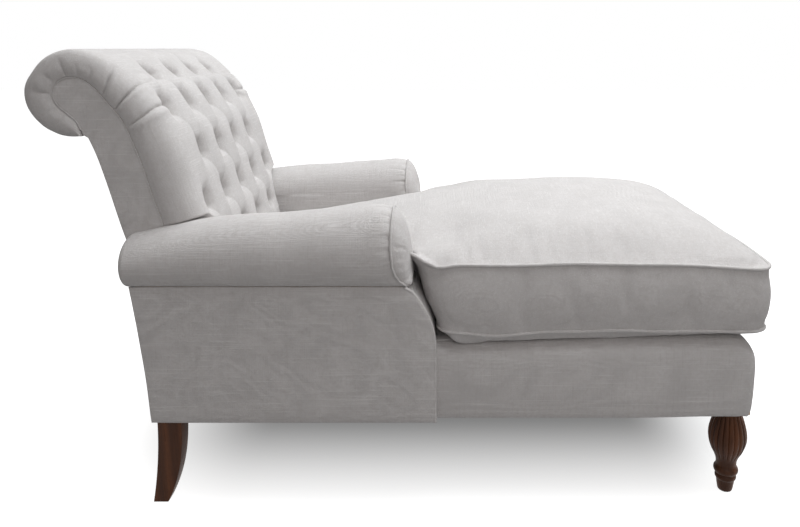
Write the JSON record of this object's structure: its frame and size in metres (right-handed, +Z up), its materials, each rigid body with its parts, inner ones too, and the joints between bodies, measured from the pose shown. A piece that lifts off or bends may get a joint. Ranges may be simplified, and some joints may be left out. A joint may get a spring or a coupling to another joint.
{
  "type": "chaise longue",
  "caption": "Upholstered chaise longue with a deep-buttoned scroll back, rolled arms, a loose T-shaped seat cushion, reeded front legs and swept rear legs.",
  "frame": {"origin": "on the floor, in the middle of the length and of the width", "axes": "+Z up; +Y towards the scroll back, -Y towards the foot end; +X to the left of a person who sits against the back"},
  "size_m": [0.8394, 1.5074, 0.9607],
  "materials": {
    "linen": "woven slub linen, warm light grey",
    "walnut": "stained and waxed, satin",
    "beech": "planed, unfinished",
    "webbing": "woven elastic webbing",
    "lining": "thin black lining cloth",
    "steel": "plain zinc plated"
  },
  "bodies": {
    "chaise": {"side_rail_left": "beech", "side_rail_right": "beech", "front_rail": "beech", "rear_rail": "beech", "middle_rail": "beech", "front_leg_left": "walnut", "front_leg_right": "walnut", "front_corner_block_left": "beech", "front_corner_block_right": "beech", "leg_bolt_front_left": "steel", "leg_bolt_front_right": "steel", "rear_leg_left": "walnut", "rear_leg_right": "walnut", "rear_corner_block_left": "beech", "rear_corner_block_right": "beech", "leg_bolt_rear_left": "steel", "leg_bolt_rear_right": "steel", "base_border_front": "linen", "base_border_left": "linen", "base_border_right": "linen", "seat_platform": "linen", "seat_web_1": "webbing", "seat_web_2": "webbing", "seat_web_3": "webbing", "seat_web_4": "webbing", "seat_web_5": "webbing", "dust_cover": "lining", "back_upright_left": "beech", "back_upright_right": "beech", "back_crest_rail": "beech", "back_lower_rail": "beech", "back_web_left": "webbing", "back_web_middle": "webbing", "back_web_right": "webbing", "outside_back": "linen", "back_side_panel_left": "linen", "back_side_panel_right": "linen", "arm_outside_panel_left": "linen", "arm_outside_panel_right": "linen", "arm_side_board_left": "beech", "arm_side_board_right": "beech", "arm_rear_panel_left": "linen", "arm_rear_panel_right": "linen", "arm_post_left": "beech", "arm_post_right": "beech", "arm_top_board_left": "beech", "arm_top_board_right": "beech", "arm_roll_left": "linen", "arm_roll_right": "linen", "arm_facing_left": "linen", "arm_facing_right": "linen", "arm_front_panel_left": "linen", "arm_front_panel_right": "linen", "back_pad": "linen"},
    "cushion": {"seat_cushion": "linen"}
  },
  "joints": [
    {"name": "cushion_lift", "type": "slide", "parent": "chaise", "child": "cushion", "axis": [0, 0, 1], "range_m": [0, 0.32]}
  ]
}
